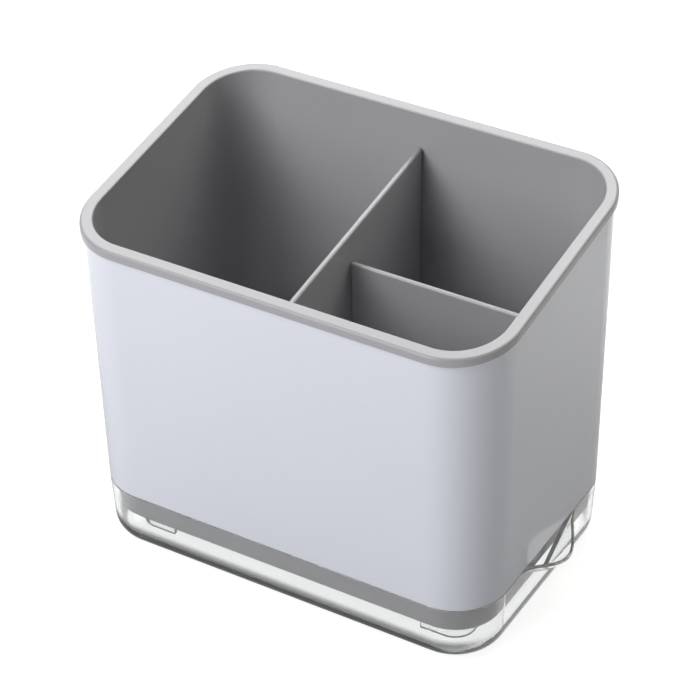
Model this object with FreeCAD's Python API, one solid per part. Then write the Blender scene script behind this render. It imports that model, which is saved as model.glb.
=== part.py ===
import FreeCAD, Part
import math
import os

# A chopstick drainer box: a clear drip tray with a spout, a glossy sleeve that stands on it,
# a grey bin that hangs in the sleeve and drains into the tray, and two lift-out dividers.
# Millimetres. The origin is the middle of the tray's underside, +Z is up,
# +X points to the spout and +Y to the back, where the rim is highest.

# Rim of the bin
rim_length = 176.0
rim_depth = 116.5
rim_corner_radius = 24.0
rim_height = 148.0
rim_side_height = 3.2
rim_slope_deg = 9.0
rim_overhang = 1.4
rim_outer_round = 1.0
rim_inner_round = 0.6

# Glossy sleeve
shell_wall = 1.5
shell_draft_deg = 0.75
shell_edge_round = 0.4

# Grey bin
bin_wall = 1.5
bin_draft_deg = 1.3
bin_clearance = 0.3
bin_floor = 2.0
foot_drop = 12.5
foot_round = 3.0
floor_round = 2.0

# Drain slots in the bin's floor
slot_width = 3.0
slot_length = 14.0
slot_pitch_across = 7.0
slot_pitch_along = 22.0
slot_margin = 4.5
slot_divider_gap = 8.0

# Lift-out dividers and the ribs that guide them
divider_thickness = 2.2
divider_clearance = 0.3
divider_top_round = 1.0
divider_corner_round = 0.8
long_divider_drop = 14.0
short_divider_drop = 25.6
guide_height = 66.0
guide_depth = 1.3
guide_width = 1.4
guide_clearance = 0.2

# Clear drip tray
tray_height = 26.0
tray_wall = 1.8
tray_floor = 3.0
tray_draft_deg = 2.8
tray_bottom_round = 8.0
tray_cove_round = 6.0
tray_edge_round = 0.4

# Rests in the tray's corners, just under the bin's floor
rest_inset = 15.5
rest_wall = 1.6
rest_leg = 18.0
rest_gap = 0.3

# Pouring spout, whose lip follows a cosine wave: at a sweep of 180 degrees it would run out
# flat along the wall
spout_half_width = 22.5
spout_reach = 8.8
spout_dip = 5.0
spout_depth = 14.7
spout_wall = 1.5
spout_sweep_deg = 160.0
spout_lip_bevel = 0.45
spout_throat_flare = 1.2

# Construction allowances: how far cutters and blanks run past the material, how many times its size
# the throat's cutter is drawn, how many points draw the lip's wave,
# how near a point must lie to count as on a plane, and the tightest corner drawn in from the rim
overrun = 1.0
cutter_spread = 2.0
lip_points = 17
plane_tolerance = 0.01
least_corner_radius = 0.5

slope = math.tan(math.radians(rim_slope_deg))
shell_taper = math.tan(math.radians(shell_draft_deg))
bin_taper = math.tan(math.radians(bin_draft_deg))
tray_taper = math.tan(math.radians(tray_draft_deg))
rim_underside = rim_height - rim_side_height
rim_rise = slope * rim_depth / 2
blank_top = rim_height + rim_rise + overrun
bin_bottom = tray_height - foot_drop
floor_top = bin_bottom + bin_floor
guide_top = floor_top + guide_height


def shell_inset(z):
    """How far the sleeve's outer face lies inside the rim's outline at height z."""
    return rim_overhang + shell_taper * (rim_height - z)


def bin_inset(z):
    """How far the bin's outer face lies inside the rim's outline at height z."""
    return rim_overhang + shell_wall + bin_clearance + bin_taper * (rim_height - z)


def cavity_inset(z):
    """How far the bin's inner face lies inside the rim's outline at height z."""
    return bin_inset(z) + bin_wall


def tray_inset(z):
    """How far the tray's outer face lies inside the rim's outline at height z."""
    return shell_inset(tray_height) + tray_taper * (tray_height - z)


def ring(inset, z):
    """The rim's rounded outline, drawn in by inset, at height z."""
    half_x = rim_length / 2 - inset
    half_y = rim_depth / 2 - inset
    radius = max(rim_corner_radius - inset, least_corner_radius)
    edges = []
    start = FreeCAD.Vector(half_x - radius, -half_y, z)
    for quarter, (side_x, side_y) in enumerate(((1, -1), (1, 1), (-1, 1), (-1, -1))):
        centre = FreeCAD.Vector(side_x * (half_x - radius), side_y * (half_y - radius), z)
        points = []
        for share in (0.0, 0.5, 1.0):
            angle = math.radians(90.0 * (quarter + share) - 90.0)
            points.append(centre + FreeCAD.Vector(radius * math.cos(angle), radius * math.sin(angle), 0))
        if quarter:
            edges.append(Part.makeLine(start, points[0]))
        edges.append(Part.Arc(*points).toShape())
        start = points[2]
    edges.append(Part.makeLine(start, edges[0].Vertexes[0].Point))
    return Part.Wire(edges)


def tapered_block(inset, low, high):
    """A solid between two heights whose outline follows inset(z)."""
    return Part.makeLoft([ring(inset(low), low), ring(inset(high), high)], True, True)


def box(low_x, high_x, low_y, high_y, low_z, high_z):
    """A plain block between its corners."""
    return Part.makeBox(high_x - low_x, high_y - low_y, high_z - low_z, FreeCAD.Vector(low_x, low_y, low_z))


def above_slope(height):
    """Everything above the sloping plane that stands at this height midway front to back."""
    reach = rim_length + rim_depth
    block = box(-reach, reach, -reach, reach, 0, reach)
    block.rotate(FreeCAD.Vector(0, 0, 0), FreeCAD.Vector(1, 0, 0), rim_slope_deg)
    block.translate(FreeCAD.Vector(0, 0, height))
    return block


def middle_of(edge):
    """The point halfway along an edge."""
    return edge.valueAt((edge.FirstParameter + edge.LastParameter) / 2)


def on_slope(edge, height):
    """True for an edge that lies in the sloping plane at this height."""
    points = [middle_of(edge)] + [vertex.Point for vertex in edge.Vertexes]
    return all(abs(point.z - height - slope * point.y) < plane_tolerance for point in points)


def on_level(edge, z):
    """True for an edge that lies level at height z."""
    points = [middle_of(edge)] + [vertex.Point for vertex in edge.Vertexes]
    return all(abs(point.z - z) < plane_tolerance for point in points)


def outside_ring(edge, inset):
    """True for an edge whose middle lies outside the outline drawn in by inset."""
    middle = middle_of(edge)
    half_x = rim_length / 2 - inset
    half_y = rim_depth / 2 - inset
    radius = max(rim_corner_radius - inset, least_corner_radius)
    past_x = max(abs(middle.x) - (half_x - radius), 0)
    past_y = max(abs(middle.y) - (half_y - radius), 0)
    return math.hypot(past_x, past_y) > radius


def rounded(shape, radius, chosen):
    """The shape with every edge that chosen(edge) picks rounded to the radius."""
    return shape.makeFillet(radius, [edge for edge in shape.Edges if chosen(edge)])


def cavity(clearance):
    """The space inside the bin, drawn in by a clearance at the walls but not at the floor."""
    block = tapered_block(lambda z: cavity_inset(z) + clearance, floor_top, blank_top)
    return rounded(block, floor_round + clearance, lambda edge: on_level(edge, floor_top))


def make_outer_shell():
    """The glossy sleeve, open at both ends, cut to the rim's slope."""
    outer = tapered_block(shell_inset, tray_height, blank_top)
    outer = rounded(outer, shell_edge_round, lambda edge: on_level(edge, tray_height))
    inner = tapered_block(lambda z: shell_inset(z) + shell_wall, tray_height - overrun, blank_top + overrun)
    return outer.cut(inner).cut(above_slope(rim_underside))


def drain_slots():
    """Rows of long slots through the bin's floor, on both sides of each divider."""
    edge = cavity_inset(floor_top) + floor_round + slot_margin
    half_x = rim_length / 2 - edge
    half_y = rim_depth / 2 - edge
    radius = rim_corner_radius - edge
    cap = slot_length / 2 - slot_width / 2
    slots = []
    columns = int((half_x - slot_divider_gap) / slot_pitch_across) + 1
    rows = int((half_y - slot_length / 2 - slot_pitch_along / 2) / slot_pitch_along) + 1
    for column in range(columns):
        for row in range(rows):
            x = slot_divider_gap + column * slot_pitch_across
            y = (row + 0.5) * slot_pitch_along
            past_x = max(x + slot_width / 2 - (half_x - radius), 0)
            past_y = max(y + slot_length / 2 - (half_y - radius), 0)
            if math.hypot(past_x, past_y) > max(radius, 0):
                continue
            for side_x in (-1, 1):
                for side_y in (-1, 1):
                    slots.append(drain_slot(side_x * x, side_y * y, cap))
    return slots


def drain_slot(x, y, cap):
    """One slot cutter with round ends, running front to back."""
    low = bin_bottom - overrun
    height = bin_floor + 2 * overrun
    radius = slot_width / 2
    cutter = box(x - radius, x + radius, y - cap, y + cap, low, low + height)
    for end in (-cap, cap):
        cutter = cutter.fuse(Part.makeCylinder(radius, height, FreeCAD.Vector(x, y + end, low)))
    return cutter.removeSplitter()


def guide_pair(low, high, along_y):
    """Two upright blanks beside a divider's edge, from the floor up, between two distances out."""
    near = divider_thickness / 2 + guide_clearance
    far = near + guide_width
    blanks = []
    for first, last in ((near, far), (-far, -near)):
        if along_y:
            blanks.append(box(first, last, low, high, floor_top, guide_top))
        else:
            blanks.append(box(low, high, first, last, floor_top, guide_top))
    return blanks


def bin_guides(outer):
    """Ribs on the bin's front, back and spout-side walls that hold the dividers upright."""
    half_x = rim_length / 2
    half_y = rim_depth / 2
    blanks = guide_pair(-half_y, half_y, True) + guide_pair(0, half_x, False)
    clear = tapered_block(lambda z: cavity_inset(z) + guide_depth, floor_top - overrun, blank_top)
    return [blank.common(outer).cut(clear) for blank in blanks]


def make_inner_bin():
    """The grey bin: sloping rim, tapered walls, slotted floor and the divider guides."""
    body = tapered_block(bin_inset, bin_bottom, blank_top)
    body = rounded(body, foot_round, lambda edge: on_level(edge, bin_bottom))
    band = Part.Face(ring(0, bin_bottom)).extrude(FreeCAD.Vector(0, 0, blank_top - bin_bottom))
    band = band.common(above_slope(rim_underside))
    shape = body.fuse(band).cut(above_slope(rim_height)).cut(cavity(0))
    shape = shape.fuse(bin_guides(body)).removeSplitter()
    rim_middle = (rim_overhang + cavity_inset(rim_height)) / 2

    def at_rim(edge, outer):
        return on_slope(edge, rim_height) and outside_ring(edge, rim_middle) == outer

    shape = rounded(shape, rim_outer_round, lambda edge: at_rim(edge, True))
    shape = rounded(shape, rim_inner_round, lambda edge: at_rim(edge, False))
    return shape.cut(drain_slots())


def is_end_corner(edge, axis):
    """True for a short edge across a divider, along the given axis."""
    across = edge.Vertexes[-1].Point - edge.Vertexes[0].Point
    return abs(abs(across.dot(axis)) - divider_thickness) < plane_tolerance


def make_long_divider():
    """The panel that runs front to back, with ribs that guide the short divider."""
    half = divider_thickness / 2
    half_y = rim_depth / 2
    top = rim_height - long_divider_drop
    panel = box(-half, half, -half_y, half_y, floor_top, blank_top)
    panel = panel.common(cavity(divider_clearance)).cut(above_slope(top))
    across = FreeCAD.Vector(1, 0, 0)
    panel = rounded(
        panel, divider_corner_round, lambda edge: on_slope(edge, top) and is_end_corner(edge, across)
    )
    panel = rounded(
        panel, divider_top_round, lambda edge: on_slope(edge, top) and not is_end_corner(edge, across)
    )
    return panel.fuse(guide_pair(half, half + guide_depth, False)).removeSplitter()


def make_short_divider():
    """The lower panel between the long divider and the spout-side wall, level on top."""
    half = divider_thickness / 2
    top = rim_height - short_divider_drop
    panel = box(half + divider_clearance, rim_length / 2, -half, half, floor_top, top)
    panel = panel.common(cavity(divider_clearance))
    across = FreeCAD.Vector(0, 1, 0)
    panel = rounded(
        panel, divider_corner_round, lambda edge: on_level(edge, top) and is_end_corner(edge, across)
    )
    return rounded(
        panel, divider_top_round, lambda edge: on_level(edge, top) and not is_end_corner(edge, across)
    )


def lip_share(across):
    """How far out the lip stands, as a share of its reach, at a share of its half width."""
    sweep = math.radians(spout_sweep_deg)
    return (math.cos(sweep * across) - math.cos(sweep)) / (1 - math.cos(sweep))


def lip_ring(foot, share, stretch):
    """The spout's lip, closed along the wall, and its two roots.

    The share shrinks it towards the middle of its opening, and then the stretch scales it about the foot.
    """
    points = []
    for step in range(lip_points):
        across = 2 * step / (lip_points - 1) - 1
        out = lip_share(across) * share
        corner = FreeCAD.Vector(foot.x + spout_reach * out, spout_half_width * across * share,
                                tray_height - spout_dip * out)
        points.append(foot + (corner - foot) * stretch)
    lip = Part.BSplineCurve()
    lip.interpolate(points)
    return Part.Wire([lip.toShape(), Part.makeLine(points[-1], points[0])]), points[0], points[-1]


def throat_mouth(foot, root, other_root, back, flare):
    """The spout's opening in the wall as an outline, moved back and widened all round."""
    corners = [foot, root, other_root]
    spread = [FreeCAD.Vector(-back, 0, -flare), FreeCAD.Vector(-back, -flare, 0), FreeCAD.Vector(-back, flare, 0)]
    moved = [corner + shift for corner, shift in zip(corners, spread)]
    return Part.makePolygon(moved + moved[:1])


def make_spout(wall_x):
    """The scoop on the tray's wall with its channel, its seat in the wall and the cutter for its throat."""
    foot = FreeCAD.Vector(wall_x, 0, tray_height - spout_depth)
    bevel_out = spout_lip_bevel / spout_reach
    bevel_down = spout_lip_bevel / spout_depth
    skirt, root, other_root = lip_ring(foot, 1, 1 - bevel_down)
    lip = lip_ring(foot, 1 - bevel_out, 1)[0]
    scoop = Part.makeLoft([Part.Vertex(foot), skirt, lip], True, True)
    seat = Part.Face(throat_mouth(foot, root, other_root, 0, 0)).extrude(FreeCAD.Vector(-tray_wall / 2, 0, 0))

    half_angle = math.atan2(spout_half_width, spout_depth)
    share = 1 - spout_wall / math.sin(half_angle) / spout_depth
    channel_foot = FreeCAD.Vector(wall_x, 0, tray_height - spout_depth * share)
    neck = lip_ring(channel_foot, share, 1 - bevel_down)[0]
    above = lip_ring(channel_foot, share + bevel_out, 1 + bevel_down)[0]
    channel = Part.makeLoft([Part.Vertex(channel_foot), neck, above], True, True)
    _, root, other_root = lip_ring(channel_foot, share, cutter_spread)
    near = throat_mouth(channel_foot, root, other_root, 0, 0)
    far = throat_mouth(channel_foot, root, other_root, tray_wall + overrun, spout_throat_flare)
    throat = Part.makeLoft([near, far], True, True)
    return scoop.cut(channel), seat, throat


def tray_rests():
    """An angled rib in each corner of the tray's floor, which stops just under the bin."""
    low = tray_floor / 2
    height = bin_bottom - rest_gap - low
    up = FreeCAD.Vector(0, 0, height)
    wall = Part.Face(ring(rest_inset, low)).extrude(up)
    wall = wall.cut(Part.Face(ring(rest_inset + rest_wall, low)).extrude(up))
    far_x = rim_length / 2 - rest_inset
    far_y = rim_depth / 2 - rest_inset
    rests = []
    for side_x in (-1, 1):
        for side_y in (-1, 1):
            x = sorted((side_x * (far_x - rest_leg), side_x * far_x))
            y = sorted((side_y * (far_y - rest_leg), side_y * far_y))
            rests.append(wall.common(box(*x, *y, low, low + height)))
    return rests


def make_drip_tray():
    """The clear tray: rounded bottom, spout on one end and four rests on the floor."""
    outer = tapered_block(tray_inset, 0, tray_height)
    outer = rounded(outer, tray_bottom_round, lambda edge: on_level(edge, 0))
    outer = rounded(outer, tray_edge_round, lambda edge: on_level(edge, tray_height))
    inner = tapered_block(lambda z: tray_inset(z) + tray_wall, tray_floor, tray_height + overrun)
    inner = rounded(inner, tray_cove_round, lambda edge: on_level(edge, tray_floor))
    spout, seat, throat = make_spout(rim_length / 2 - tray_inset(tray_height))
    body = outer.fuse([spout, seat]).cut([inner, throat])
    return body.fuse(tray_rests()).removeSplitter()


def main():
    os.makedirs("parts", exist_ok=True)
    pieces = {
        "outer_shell": make_outer_shell(),
        "inner_bin": make_inner_bin(),
        "long_divider": make_long_divider(),
        "short_divider": make_short_divider(),
        "drip_tray": make_drip_tray(),
    }
    for name, shape in pieces.items():
        print(name, len(shape.Solids), "solids", round(shape.Volume), "mm3 valid", shape.isValid())
        shape.exportStep("parts/" + name + ".step")


main()
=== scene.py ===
"""Dresses the chopstick drainer box in its plastics and sets up its studio, as a Blender add-on."""
import math

import bmesh
import bpy
from mathutils import Matrix, Vector


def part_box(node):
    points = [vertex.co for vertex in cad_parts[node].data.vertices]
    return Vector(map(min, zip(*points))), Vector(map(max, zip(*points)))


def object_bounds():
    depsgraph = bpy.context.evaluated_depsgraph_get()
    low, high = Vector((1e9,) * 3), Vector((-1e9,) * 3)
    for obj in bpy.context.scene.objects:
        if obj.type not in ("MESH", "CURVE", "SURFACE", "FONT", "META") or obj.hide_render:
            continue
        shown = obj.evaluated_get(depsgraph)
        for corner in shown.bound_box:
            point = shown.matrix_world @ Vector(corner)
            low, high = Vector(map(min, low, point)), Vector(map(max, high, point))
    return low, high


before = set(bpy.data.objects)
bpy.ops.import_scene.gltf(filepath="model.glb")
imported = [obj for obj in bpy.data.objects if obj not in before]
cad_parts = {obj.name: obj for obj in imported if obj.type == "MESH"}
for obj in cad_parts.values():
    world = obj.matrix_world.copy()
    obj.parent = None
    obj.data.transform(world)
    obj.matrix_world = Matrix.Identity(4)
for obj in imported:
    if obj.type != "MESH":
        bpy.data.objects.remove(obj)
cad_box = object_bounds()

bl_info = {
    "name": "Chopstick Drainer Box",
    "version": (1, 0, 0),
    "blender": (4, 5, 0),
    "location": "View3D > Sidebar > Drainer",
    "description": "Finishes the drainer box's sleeve, bin, dividers and tray, and lights them",
    "category": "Material",
}

MILLIMETRE = 0.001
MICROMETRE = 0.000001
WHITE = (1.0, 1.0, 1.0, 1.0)
BLACK = (0.0, 0.0, 0.0, 1.0)

# Places of the colour sockets on a Mix node
MIX_FACTOR, MIX_A, MIX_B, MIX_RESULT = 0, 6, 7, 2

# Of all the plastics: the radius of the box's upright corners, and how strongly the opaque ones reflect
CORNER_RADIUS = 24 * MILLIMETRE
OPAQUE_INDEX = 1.5

# Hairlines: their noise is drawn out up the box or round it. They show in patches, which are this many
# times as wide as the noise and fade in over this range of it
UPRIGHT_HAIRLINE = (1.0, 1.0, 0.04)
LEVEL_HAIRLINE = (0.05, 0.05, 1.0)
HAIRLINE_PATCH = 30
HAIRLINE_PATCH_FADE = (0.45, 0.7)

# Sleeve: the widths of its faint clouds, smudges, waves, hairlines and skin, and how much they change
SLEEVE_CLOUD = 60 * MILLIMETRE
SLEEVE_CLOUD_SHADE = 0.975
SLEEVE_SMUDGE = 24 * MILLIMETRE
SLEEVE_SMUDGE_FADE = (0.4, 0.75)
SLEEVE_SMUDGE_ROUGHNESS = 0.04
SLEEVE_WAVE = 28 * MILLIMETRE
SLEEVE_HAIRLINE = 0.9 * MILLIMETRE
SLEEVE_HAIRLINE_SHARE = 0.3
SLEEVE_HAIRLINE_ROUGHNESS = 0.10
SLEEVE_SKIN = 0.8 * MILLIMETRE
SLEEVE_SKIN_DEPTH = 0.25 * MICROMETRE

# Bin and dividers: the widths of their clouds, worn patches, hairlines, flow waves and grain, and how
# much they change. The painted shade on the rim's outer side ends this far inside the rim's outline
GREY_CLOUD = 35 * MILLIMETRE
GREY_CLOUD_SHADE = 0.98
GREY_WORN_PATCH = 18 * MILLIMETRE
GREY_WORN_FADE = (0.35, 0.7)
GREY_WORN_ROUGHNESS = 0.02
GREY_HAIRLINE = 1.1 * MILLIMETRE
GREY_HAIRLINE_SHARE = 0.32
GREY_HAIRLINE_POLISH = 0.04
GREY_FLOW = 40 * MILLIMETRE
GREY_FLOW_DEPTH = 15 * MICROMETRE
BIN_GRAIN = 0.5 * MILLIMETRE
DIVIDER_GRAIN = 0.42 * MILLIMETRE
RIM_PAINTED_SHADE_FADE = (1.1 * MILLIMETRE, 0.6 * MILLIMETRE)

# Tray: the widths of its haze, ripples and hairlines, and how much they change
TRAY_HAZE = 15 * MILLIMETRE
TRAY_HAZE_FADE = (0.4, 0.8)
TRAY_HAZE_ROUGHNESS = 0.03
TRAY_RIPPLE = 14 * MILLIMETRE
TRAY_RIPPLE_DEPTH = 12 * MICROMETRE
TRAY_HAIRLINE = 0.8 * MILLIMETRE
TRAY_HAIRLINE_SHARE = 0.3
TRAY_HAIRLINE_ROUGHNESS = 0.08

# Tray: a painted dark band, standing in for the dark refraction at the thick foot, lies low on its outer
# face, between two heights and only as deep as the face's draft, and grows faint near the spout's end
PAINTED_BAND_BOTTOM_FADE = (1.5 * MILLIMETRE, 2.8 * MILLIMETRE)
PAINTED_BAND_TOP_FADE = (11.3 * MILLIMETRE, 7.8 * MILLIMETRE)
PAINTED_BAND_DEPTH_FADE = (4.5 * MILLIMETRE, 3.5 * MILLIMETRE)
PAINTED_BAND_END_FADE = (74 * MILLIMETRE, 84 * MILLIMETRE)
PAINTED_BAND_PAST_END = 0.2

# Tray: its upper edge has painted shade where it faces up, above this height, standing in for its dark
# refraction
PAINTED_EDGE_FACING_FADE = (0.8, 0.9)
PAINTED_EDGE_HEIGHT_FADE = (16 * MILLIMETRE, 18 * MILLIMETRE)
PAINTED_EDGE_SHARE = 0.8

# Floor: how far it lies below the box, how light it is under the lamps and in view, and the glow that
# keeps it white in view, which grows far from the box and through the clear plastic
FLOOR_DROP = 0.1 * MILLIMETRE
FLOOR_GREY = 0.75
FLOOR_GREY_IN_VIEW = 0.30
FLOOR_GLOW = 0.90
FLOOR_GLOW_FAR = 0.10
FLOOR_GLOW_CLEAR = 0.12
FLOOR_GLOW_MOST = FLOOR_GLOW + FLOOR_GLOW_CLEAR
FLOOR_FAR_FADE = (600 * MILLIMETRE, 1500 * MILLIMETRE)

# Floor: in reflections it has a painted shadow near the box, but not in a strip beside the tray's spout
# end. Light that crosses more than this many clear faces counts as a reflection again
PAINTED_SHADOW_FADE = (110 * MILLIMETRE, 290 * MILLIMETRE)
PAINTED_SHADOW_MOST = 0.7
STRIP_WIDTH_FADE = (-9 * MILLIMETRE, -4 * MILLIMETRE)
STRIP_START_FADE = (55 * MILLIMETRE, 88 * MILLIMETRE)
STRIP_MOST = 0.95
CLEAR_FACES = 3


class Wire:
    """A shader socket whose arithmetic adds Math nodes."""

    def __init__(self, finish, socket):
        self.finish = finish
        self.socket = socket

    def __add__(self, other):
        return self.finish.math("ADD", self, other)

    __radd__ = __add__

    def __sub__(self, other):
        return self.finish.math("SUBTRACT", self, other)

    def __rsub__(self, other):
        return self.finish.math("SUBTRACT", other, self)

    def __mul__(self, other):
        return self.finish.math("MULTIPLY", self, other)

    __rmul__ = __mul__

    def __truediv__(self, other):
        return self.finish.math("DIVIDE", self, other)

    def __rtruediv__(self, other):
        return self.finish.math("DIVIDE", other, self)


class Finish:
    """A material or world whose nodes are added one by one."""

    def __init__(self, owner):
        owner.use_nodes = True
        self.owner = owner
        self.tree = owner.node_tree
        self.tree.nodes.clear()

    def node(self, kind, settings, sockets):
        """A node of this type: its settings are set first, then its sockets, by name or place."""
        made = self.tree.nodes.new(kind)
        for name, value in settings.items():
            setattr(made, name, value)
        for key, value in sockets.items():
            if isinstance(value, Wire):
                self.tree.links.new(value.socket, made.inputs[key])
            else:
                made.inputs[key].default_value = value
        return made

    def wire(self, kind, settings, sockets, output=0):
        """One output of a new node."""
        return Wire(self, self.node(kind, settings, sockets).outputs[output])

    def math(self, operation, first, second):
        """A sum, difference, product or the like of two values."""
        return self.wire("ShaderNodeMath", {"operation": operation}, {0: first, 1: second})

    def mix(self, factor, first, second):
        """A colour between two colours."""
        sockets = {MIX_FACTOR: factor, MIX_A: first, MIX_B: second}
        return self.wire("ShaderNodeMix", {"data_type": "RGBA"}, sockets, MIX_RESULT)

    def place(self, stretch=(1.0, 1.0, 1.0)):
        """The point's place on the piece at rest, in metres, stretched along X, Y and Z."""
        point = self.wire("ShaderNodeTexCoord", {}, {}, "Object")
        return self.wire("ShaderNodeVectorMath", {"operation": "MULTIPLY"}, {0: point, 1: stretch})

    def height(self):
        """The height above the table in metres."""
        return self.wire("ShaderNodeSeparateXYZ", {}, {0: self.place()}, "Z")

    def along(self):
        """How far the point lies towards the spout in metres, from the middle of the box."""
        return self.wire("ShaderNodeSeparateXYZ", {}, {0: self.place()}, "X")

    def upward(self):
        """1 where the surface faces up and 0 where it is upright."""
        facing = self.wire("ShaderNodeNewGeometry", {}, {}, "Normal")
        return self.wire("ShaderNodeSeparateXYZ", {}, {0: facing}, "Z")

    def inset(self, half_length, half_depth):
        """How far the point lies inside a rounded outline around the middle, near that outline."""
        corner = (half_length - CORNER_RADIUS, half_depth - CORNER_RADIUS, 1.0)
        folded = self.wire("ShaderNodeVectorMath", {"operation": "ABSOLUTE"}, {0: self.place()})
        past = self.wire("ShaderNodeVectorMath", {"operation": "SUBTRACT"}, {0: folded, 1: corner})
        past = self.wire("ShaderNodeVectorMath", {"operation": "MAXIMUM"}, {0: past, 1: (0.0, 0.0, 0.0)})
        reach = self.wire("ShaderNodeVectorMath", {"operation": "LENGTH"}, {0: past}, "Value")
        return CORNER_RADIUS - reach

    def inset_in_tray(self):
        """How far the point lies inside the tray's outline without its spout, near that outline."""
        low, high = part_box("drip_tray")
        return self.inset(-low.x, high.y)

    def noise(self, size, detail=2.0, stretch=(1.0, 1.0, 1.0)):
        """Soft noise from 0 to 1 whose features are about size metres across."""
        sockets = {"Vector": self.place(stretch), "Scale": 1 / size, "Detail": detail}
        return self.wire("ShaderNodeTexNoise", {}, sockets, "Fac")

    def between(self, value, low, high, start=0.0, end=1.0):
        """A value carried smoothly from the range low..high to start..end, and held past both."""
        sockets = {"Value": value, "From Min": low, "From Max": high, "To Min": start, "To Max": end}
        return self.wire("ShaderNodeMapRange", {"interpolation_type": "SMOOTHSTEP"}, sockets)

    def bump(self, height, depth, under=None):
        """A surface raised by height (0 to 1) times depth, in metres, over another bump."""
        sockets = {"Height": height, "Distance": depth}
        if under is not None:
            sockets["Normal"] = under
        return self.wire("ShaderNodeBump", {}, sockets, "Normal")

    def in_view(self):
        """1 where the camera looks, also by a reflection or through the clear plastic, and 0 elsewhere."""
        path = self.node("ShaderNodeLightPath", {}, {})
        seen = Wire(self, path.outputs["Is Camera Ray"])
        for ray in ("Is Glossy Ray", "Is Transmission Ray"):
            seen = self.math("MAXIMUM", seen, Wire(self, path.outputs[ray]))
        return seen * self.math("LESS_THAN", Wire(self, path.outputs["Diffuse Depth"]), 0.5)

    def beyond(self, kind, times):
        """1 where the light has met this kind of bounce more often than the given number of times."""
        depth = self.wire("ShaderNodeLightPath", {}, {}, kind + " Depth")
        return self.math("GREATER_THAN", depth, times + 0.5)

    def plastic(self, sockets):
        """A plastic surface with these values and links of its sockets."""
        return self.wire("ShaderNodeBsdfPrincipled", {}, sockets)

    def show(self, surface):
        """Sends a shader to the output."""
        for_world = isinstance(self.owner, bpy.types.World)
        kind = "ShaderNodeOutputWorld" if for_world else "ShaderNodeOutputMaterial"
        self.node(kind, {}, {"Surface": surface})


def new_finish(name):
    """An empty material, ready for its nodes."""
    return Finish(bpy.data.materials.new(name))


def solid(colour, share=1.0):
    """A colour at a share of its brightness, in the four numbers that a socket takes."""
    red, green, blue = colour
    return (red * share, green * share, blue * share, 1.0)


def grey(level):
    """A plain grey, in the four numbers that a socket takes."""
    return (level, level, level, 1.0)


def dress(node, finish):
    """Gives a piece from the frame its finish."""
    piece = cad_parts[node]
    piece.data.materials.clear()
    piece.data.materials.append(finish.owner)


def fine_scratches(finish, size, share):
    """Thin faint hairlines in two directions, more of them with a larger share: 0 beside a hairline."""
    upright = finish.noise(size, detail=1.0, stretch=UPRIGHT_HAIRLINE)
    level = finish.noise(size, detail=1.0, stretch=LEVEL_HAIRLINE)
    patches = finish.noise(size * HAIRLINE_PATCH, detail=1.0)
    lines = finish.between(upright, 1 - share, 1.0) + finish.between(level, 1 - share, 1.0)
    return lines * finish.between(patches, *HAIRLINE_PATCH_FADE)


class SleeveFinish(bpy.types.PropertyGroup):
    """The glossy white of the sleeve"""

    colour: bpy.props.FloatVectorProperty(
        name="Colour", description="Colour of the white plastic", subtype="COLOR",
        default=(0.798, 0.819, 0.912),
    )
    roughness: bpy.props.FloatProperty(
        name="Roughness", description="Roughness of the polished face", default=0.13, min=0.0, max=1.0
    )
    ripple: bpy.props.FloatProperty(
        name="Ripple", description="Depth of the moulded face's slow waves", unit="LENGTH",
        default=12 * MICROMETRE,
    )


class BinFinish(bpy.types.PropertyGroup):
    """The satin grey of the bin and its dividers"""

    colour: bpy.props.FloatVectorProperty(
        name="Colour", description="Colour of the grey plastic", subtype="COLOR",
        default=(0.48, 0.475, 0.498),
    )
    roughness: bpy.props.FloatProperty(
        name="Roughness", description="Roughness of the satin faces", default=0.24, min=0.0, max=1.0
    )
    # Painted shade: the rim's outer side gets a darker copy of the grey, standing in for the light it lacks
    rim_side_painted_shade: bpy.props.FloatProperty(
        name="Side Shade", description="How light the rim's outer side is beside its top", default=0.85,
        min=0.0, max=1.0,
    )
    grain: bpy.props.FloatProperty(
        name="Grain", description="Depth of the fine moulded grain", unit="LENGTH", default=5 * MICROMETRE
    )


class TrayFinish(bpy.types.PropertyGroup):
    """The clear plastic of the drip tray"""

    tint: bpy.props.FloatVectorProperty(
        name="Tint", description="Tint of the clear plastic", subtype="COLOR",
        default=(0.98, 0.988, 0.986),
    )
    # Painted shade: this dark tint stands in for the dark refraction in the band and on the upper edge
    painted_dark_tint: bpy.props.FloatVectorProperty(
        name="Deep Tint", description="Tint of the dark band and of the upper edge", subtype="COLOR",
        default=(0.26, 0.275, 0.27),
    )
    milk: bpy.props.FloatProperty(
        name="Milk", description="Share of the light that the plastic scatters", default=0.012,
        min=0.0, max=1.0,
    )
    body: bpy.props.FloatProperty(
        name="Body", description="Share of the light that the plastic bends", default=0.975,
        min=0.0, max=1.0,
    )
    index: bpy.props.FloatProperty(
        name="Refraction", description="How strongly the clear plastic bends light", default=1.49,
        min=1.0, max=2.0,
    )
    roughness: bpy.props.FloatProperty(
        name="Roughness", description="Roughness of the clear faces", default=0.03, min=0.0, max=1.0
    )
    shadow: bpy.props.FloatProperty(
        name="Shadow", description="Share of the lamps' light that passes through", default=0.15,
        min=0.0, max=1.0,
    )


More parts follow.
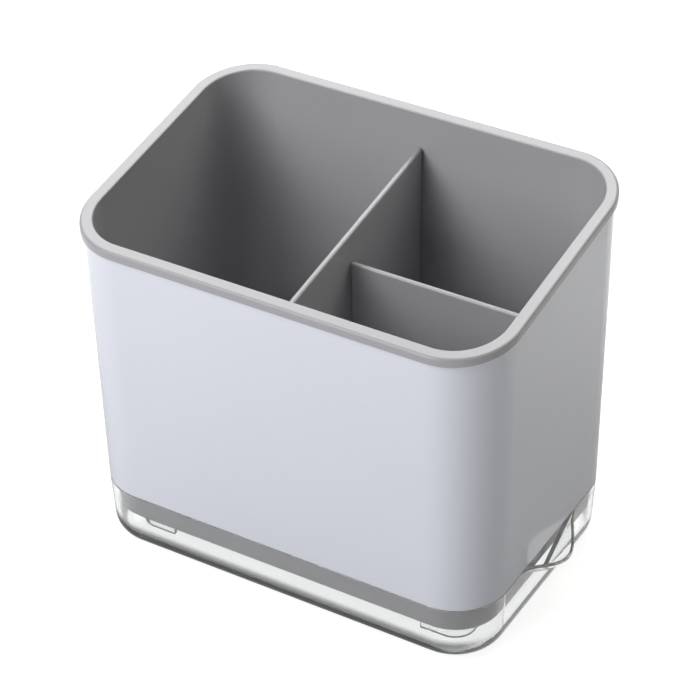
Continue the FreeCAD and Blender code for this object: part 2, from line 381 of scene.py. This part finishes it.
class StudioSettings(bpy.types.PropertyGroup):
    """The camera, the floor and the lamps"""

    azimuth: bpy.props.FloatProperty(
        name="Azimuth", description="Where the camera stands round the box", subtype="ANGLE",
        default=math.radians(30.925),
    )
    elevation: bpy.props.FloatProperty(
        name="Elevation", description="How far the camera looks down", subtype="ANGLE",
        default=math.radians(35.81),
    )
    roll: bpy.props.FloatProperty(
        name="Roll", description="Turn of the camera about its own axis", subtype="ANGLE",
        default=math.radians(-0.896),
    )
    target: bpy.props.FloatVectorProperty(
        name="Target", description="Point that the camera looks at", subtype="XYZ", unit="LENGTH",
        default=(40.22 * MILLIMETRE, -56.51 * MILLIMETRE, 125.49 * MILLIMETRE),
    )
    distance: bpy.props.FloatProperty(
        name="Distance", description="From the camera to its target", unit="LENGTH",
        default=868.9 * MILLIMETRE,
    )
    lens: bpy.props.FloatProperty(name="Lens", description="Focal length in millimetres", default=131.34)
    shift: bpy.props.FloatVectorProperty(
        name="Shift", description="Shift of the frame, as a share of its width", size=2,
        default=(-0.0214, 0.0214),
    )
    floor_size: bpy.props.FloatProperty(
        name="Floor", description="Width of the pale floor", unit="LENGTH", default=6.0
    )
    lamp_distance: bpy.props.FloatProperty(
        name="Lamp Distance", description="From the middle of the box to each lamp", unit="LENGTH",
        default=1.4,
    )
    lamp_width: bpy.props.FloatProperty(
        name="Lamp Width", description="Width of each soft lamp", unit="LENGTH", default=0.8
    )
    key_power: bpy.props.FloatProperty(
        name="Key", description="Power of the lamp at the front left", unit="POWER", default=9.3
    )
    low_power: bpy.props.FloatProperty(
        name="Low", description="Power of the low lamp in front", unit="POWER", default=4.7
    )
    back_power: bpy.props.FloatProperty(
        name="Back", description="Power of the high lamp behind", unit="POWER", default=8.6
    )
    back_left_power: bpy.props.FloatProperty(
        name="Back Left", description="Power of the lamp at the back left", unit="POWER", default=6.3
    )
    side_power: bpy.props.FloatProperty(
        name="Side", description="Power of the lamp behind the spout's side", unit="POWER", default=3.1
    )
    low_height: bpy.props.FloatProperty(
        name="Low Height", description="Height of the low lamp in front", unit="LENGTH", default=0.5
    )
    side_colour: bpy.props.FloatVectorProperty(
        name="Side Colour", description="Warm light of the lamp behind the spout's side", subtype="COLOR",
        default=(1.0, 0.96, 0.80),
    )


class DRAINER_OT_sleeve(bpy.types.Operator):
    """Finish the sleeve in glossy white plastic"""

    bl_idname = "drainer.sleeve"
    bl_label = "Finish the Sleeve"

    def execute(self, context):
        settings = context.scene.drainer_sleeve
        finish = new_finish("gloss_white")
        cloud = finish.noise(SLEEVE_CLOUD)
        faces = finish.mix(cloud, solid(settings.colour, SLEEVE_CLOUD_SHADE), solid(settings.colour))
        scuffs = fine_scratches(finish, SLEEVE_HAIRLINE, SLEEVE_HAIRLINE_SHARE)
        smudge = finish.between(finish.noise(SLEEVE_SMUDGE, detail=4.0), *SLEEVE_SMUDGE_FADE)
        worn = smudge * SLEEVE_SMUDGE_ROUGHNESS + scuffs * SLEEVE_HAIRLINE_ROUGHNESS
        waves = finish.bump(finish.noise(SLEEVE_WAVE, detail=1.0), settings.ripple)
        skin = finish.bump(finish.noise(SLEEVE_SKIN, detail=2.0), SLEEVE_SKIN_DEPTH, waves)
        surface = finish.plastic(
            {
                "Base Color": faces,
                "Roughness": settings.roughness + worn,
                "IOR": OPAQUE_INDEX,
                "Normal": skin,
            }
        )
        finish.show(surface)
        dress("outer_shell", finish)
        return {"FINISHED"}


def satin_grey(name, settings, grain_size):
    """Satin grey plastic with a moulded grain and faint worn patches, and painted shade on the rim's outer
    side.
    """
    finish = new_finish(name)
    cloud = finish.noise(GREY_CLOUD, detail=1.0)
    faces = finish.mix(cloud, solid(settings.colour, GREY_CLOUD_SHADE), solid(settings.colour))
    rim_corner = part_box("inner_bin")[1]
    # Painted shade: a darker copy of the grey on the rim's outer side
    side = finish.between(finish.inset(rim_corner.x, rim_corner.y), *RIM_PAINTED_SHADE_FADE)
    worn = finish.between(finish.noise(GREY_WORN_PATCH, detail=1.0), *GREY_WORN_FADE)
    scuffs = fine_scratches(finish, GREY_HAIRLINE, GREY_HAIRLINE_SHARE)
    flow = finish.bump(finish.noise(GREY_FLOW, detail=0.0), GREY_FLOW_DEPTH)
    grain = finish.bump(finish.noise(grain_size, detail=2.0), settings.grain, flow)
    surface = finish.plastic(
        {
            "Base Color": finish.mix(side, faces, solid(settings.colour, settings.rim_side_painted_shade)),
            "Roughness": settings.roughness + worn * GREY_WORN_ROUGHNESS - scuffs * GREY_HAIRLINE_POLISH,
            "IOR": OPAQUE_INDEX,
            "Normal": grain,
        }
    )
    finish.show(surface)
    return finish


class DRAINER_OT_bin(bpy.types.Operator):
    """Finish the bin in satin grey plastic"""

    bl_idname = "drainer.bin"
    bl_label = "Finish the Bin"

    def execute(self, context):
        dress("inner_bin", satin_grey("satin_grey_bin", context.scene.drainer_bin, BIN_GRAIN))
        return {"FINISHED"}


class DRAINER_OT_dividers(bpy.types.Operator):
    """Finish the lift-out dividers in satin grey plastic"""

    bl_idname = "drainer.dividers"
    bl_label = "Finish the Dividers"

    def execute(self, context):
        finish = satin_grey("satin_grey_divider", context.scene.drainer_bin, DIVIDER_GRAIN)
        dress("long_divider", finish)
        dress("short_divider", finish)
        return {"FINISHED"}


def painted_dark_parts(finish):
    """Painted shade on the clear plastic: 1 in the band low on its outer face, less on its upper edge."""
    height = finish.height()
    band = finish.between(height, *PAINTED_BAND_TOP_FADE) * finish.between(height, *PAINTED_BAND_BOTTOM_FADE)
    band = band * finish.between(finish.inset_in_tray(), *PAINTED_BAND_DEPTH_FADE)
    band = band * finish.between(finish.along(), *PAINTED_BAND_END_FADE, 1.0, PAINTED_BAND_PAST_END)
    edge = finish.between(finish.upward(), *PAINTED_EDGE_FACING_FADE) * finish.between(height, *PAINTED_EDGE_HEIGHT_FADE)
    return band + edge * PAINTED_EDGE_SHARE


class DRAINER_OT_tray(bpy.types.Operator):
    """Finish the drip tray in clear plastic"""

    bl_idname = "drainer.tray"
    bl_label = "Finish the Tray"

    def execute(self, context):
        settings = context.scene.drainer_tray
        finish = new_finish("clear_plastic")
        # The tint darkens to the painted dark tint where shade is painted on the band and the upper edge
        tint = finish.mix(painted_dark_parts(finish), solid(settings.tint), solid(settings.painted_dark_tint))
        haze = finish.between(finish.noise(TRAY_HAZE, detail=4.0), *TRAY_HAZE_FADE)
        scuffs = fine_scratches(finish, TRAY_HAIRLINE, TRAY_HAIRLINE_SHARE)
        worn = haze * TRAY_HAZE_ROUGHNESS + scuffs * TRAY_HAIRLINE_ROUGHNESS
        ripple = finish.bump(finish.noise(TRAY_RIPPLE, detail=1.0), TRAY_RIPPLE_DEPTH)
        clear = finish.plastic(
            {
                "Base Color": tint,
                "Roughness": settings.roughness + worn,
                "IOR": settings.index,
                "Transmission Weight": 1 - settings.milk,
                "Alpha": settings.body,
                "Normal": ripple,
            }
        )
        open_light = finish.wire("ShaderNodeBsdfTransparent", {}, {"Color": grey(settings.shadow)})
        towards_lamp = finish.wire("ShaderNodeLightPath", {}, {}, "Is Shadow Ray")
        finish.show(finish.wire("ShaderNodeMixShader", {}, {0: towards_lamp, 1: clear, 2: open_light}))
        dress("drip_tray", finish)
        return {"FINISHED"}


def direction(azimuth, elevation):
    """Away from the box, at an angle round it (0 in front, growing towards the spout) and an angle up."""
    flat = math.cos(elevation)
    return Vector((math.sin(azimuth) * flat, -math.cos(azimuth) * flat, math.sin(elevation)))


def make_camera(settings):
    """The camera, placed round its target."""
    camera = bpy.data.objects.new("camera", bpy.data.cameras.new("camera"))
    bpy.context.scene.collection.objects.link(camera)
    camera.data.lens = settings.lens
    camera.data.shift_x, camera.data.shift_y = settings.shift
    back = direction(settings.azimuth, settings.elevation)
    place = Vector(settings.target) + back * settings.distance
    turn = back.to_track_quat("Z", "Y").to_matrix() @ Matrix.Rotation(settings.roll, 3, "Z")
    camera.matrix_world = Matrix.Translation(place) @ turn.to_4x4()
    bpy.context.scene.camera = camera


def floor_glow(finish):
    """The floor's glow, 1 at its most: painted shadow in reflections near the box, more through the
    plastic.
    """
    away = finish.wire("ShaderNodeVectorMath", {"operation": "LENGTH"}, {0: finish.place()}, "Value")
    clear = finish.beyond("Transmission", 0)
    mirrored = finish.beyond("Glossy", 0) * (1 - clear + finish.beyond("Transmission", CLEAR_FACES))
    strip = finish.between(finish.inset_in_tray(), *STRIP_WIDTH_FADE)
    strip = strip * finish.between(finish.along(), *STRIP_START_FADE, 0.0, STRIP_MOST)
    # Painted shadow: the floor is dimmed in reflections near the box, save in the strip by the spout
    painted_shadow = finish.between(away, *PAINTED_SHADOW_FADE, PAINTED_SHADOW_MOST, 0.0) * (1 - strip)
    far = finish.between(away, *FLOOR_FAR_FADE, 0.0, FLOOR_GLOW_FAR)
    glow = FLOOR_GLOW + far + clear * (FLOOR_GLOW_CLEAR - far)
    return glow * (1 - mirrored * painted_shadow) / FLOOR_GLOW_MOST


def make_floor(size):
    """The pale floor. It looks white to the camera and in the plastics, but keeps the box's soft shadow."""
    mesh = bpy.data.meshes.new("floor")
    shape = bmesh.new()
    bmesh.ops.create_grid(shape, x_segments=1, y_segments=1, size=size / 2)
    shape.to_mesh(mesh)
    shape.free()
    floor = bpy.data.objects.new("floor", mesh)
    bpy.context.scene.collection.objects.link(floor)
    floor.location.z = -FLOOR_DROP
    finish = new_finish("pale_floor")
    plain = finish.wire("ShaderNodeBsdfDiffuse", {}, {"Color": grey(FLOOR_GREY)})
    shaded = finish.wire("ShaderNodeBsdfDiffuse", {}, {"Color": grey(FLOOR_GREY_IN_VIEW)})
    glow = finish.mix(floor_glow(finish), BLACK, WHITE)
    white = finish.wire("ShaderNodeEmission", {}, {"Color": glow, "Strength": FLOOR_GLOW_MOST})
    seen = finish.wire("ShaderNodeAddShader", {}, {0: shaded, 1: white})
    finish.show(finish.wire("ShaderNodeMixShader", {}, {0: finish.in_view(), 1: plain, 2: seen}))
    mesh.materials.append(finish.owner)


def make_backdrop():
    """White behind the box, in reflections and through the clear plastic. It lights no matt surface."""
    world = bpy.data.worlds.new("studio")
    bpy.context.scene.world = world
    finish = Finish(world)
    sockets = {"Color": WHITE, "Strength": finish.in_view()}
    finish.show(finish.wire("ShaderNodeBackground", {}, sockets))


def add_softbox(name, settings, azimuth, elevation, power):
    """A large soft lamp that faces the box, by degrees round it and up."""
    lamp = bpy.data.lights.new(name, "AREA")
    lamp.shape = "RECTANGLE"
    lamp.size = settings.lamp_width
    lamp.size_y = settings.lamp_width
    lamp.energy = power
    holder = bpy.data.objects.new(name, lamp)
    bpy.context.scene.collection.objects.link(holder)
    outward = direction(math.radians(azimuth), math.radians(elevation))
    holder.location = (cad_box[0] + cad_box[1]) / 2 + outward * settings.lamp_distance
    holder.rotation_euler = outward.to_track_quat("Z", "Y").to_euler()
    return lamp


class DRAINER_OT_studio(bpy.types.Operator):
    """Set up the camera, the pale floor, the white backdrop and the soft lamps"""

    bl_idname = "drainer.studio"
    bl_label = "Set Up the Studio"

    def execute(self, context):
        settings = context.scene.drainer_studio
        make_camera(settings)
        make_floor(settings.floor_size)
        make_backdrop()
        add_softbox("key", settings, azimuth=-30, elevation=40, power=settings.key_power)
        low = add_softbox("low", settings, azimuth=-12, elevation=12, power=settings.low_power)
        low.size_y = settings.low_height
        add_softbox("back", settings, azimuth=180, elevation=65, power=settings.back_power)
        add_softbox("back_left", settings, azimuth=-135, elevation=40, power=settings.back_left_power)
        side = add_softbox("side", settings, azimuth=135, elevation=40, power=settings.side_power)
        side.color = settings.side_colour
        context.scene.view_settings.view_transform = "Standard"
        return {"FINISHED"}


OPERATORS = (DRAINER_OT_sleeve, DRAINER_OT_bin, DRAINER_OT_dividers, DRAINER_OT_tray, DRAINER_OT_studio)
SETTINGS = {
    "drainer_sleeve": SleeveFinish,
    "drainer_bin": BinFinish,
    "drainer_tray": TrayFinish,
    "drainer_studio": StudioSettings,
}


class DRAINER_PT_panel(bpy.types.Panel):
    """Lists the steps that dress and light the box, and their settings"""

    bl_idname = "DRAINER_PT_panel"
    bl_label = "Drainer Box"
    bl_space_type = "VIEW_3D"
    bl_region_type = "UI"
    bl_category = "Drainer"

    def draw(self, context):
        for operator in OPERATORS:
            self.layout.operator(operator.bl_idname)
        for name, group in SETTINGS.items():
            column = self.layout.column(align=True)
            for setting in group.__annotations__:
                column.prop(getattr(context.scene, name), setting)


def register():
    """Adds the settings, operators and panel to Blender."""
    for group in SETTINGS.values():
        bpy.utils.register_class(group)
    for name, group in SETTINGS.items():
        setattr(bpy.types.Scene, name, bpy.props.PointerProperty(type=group))
    for operator in OPERATORS:
        bpy.utils.register_class(operator)
    bpy.utils.register_class(DRAINER_PT_panel)


def unregister():
    """Takes them out again."""
    bpy.utils.unregister_class(DRAINER_PT_panel)
    for operator in reversed(OPERATORS):
        bpy.utils.unregister_class(operator)
    for name in SETTINGS:
        delattr(bpy.types.Scene, name)
    for group in reversed(SETTINGS.values()):
        bpy.utils.unregister_class(group)


def main():
    register()
    bpy.ops.drainer.sleeve()
    bpy.ops.drainer.bin()
    bpy.ops.drainer.dividers()
    bpy.ops.drainer.tray()
    bpy.ops.drainer.studio()


if __name__ == "__main__":
    main()
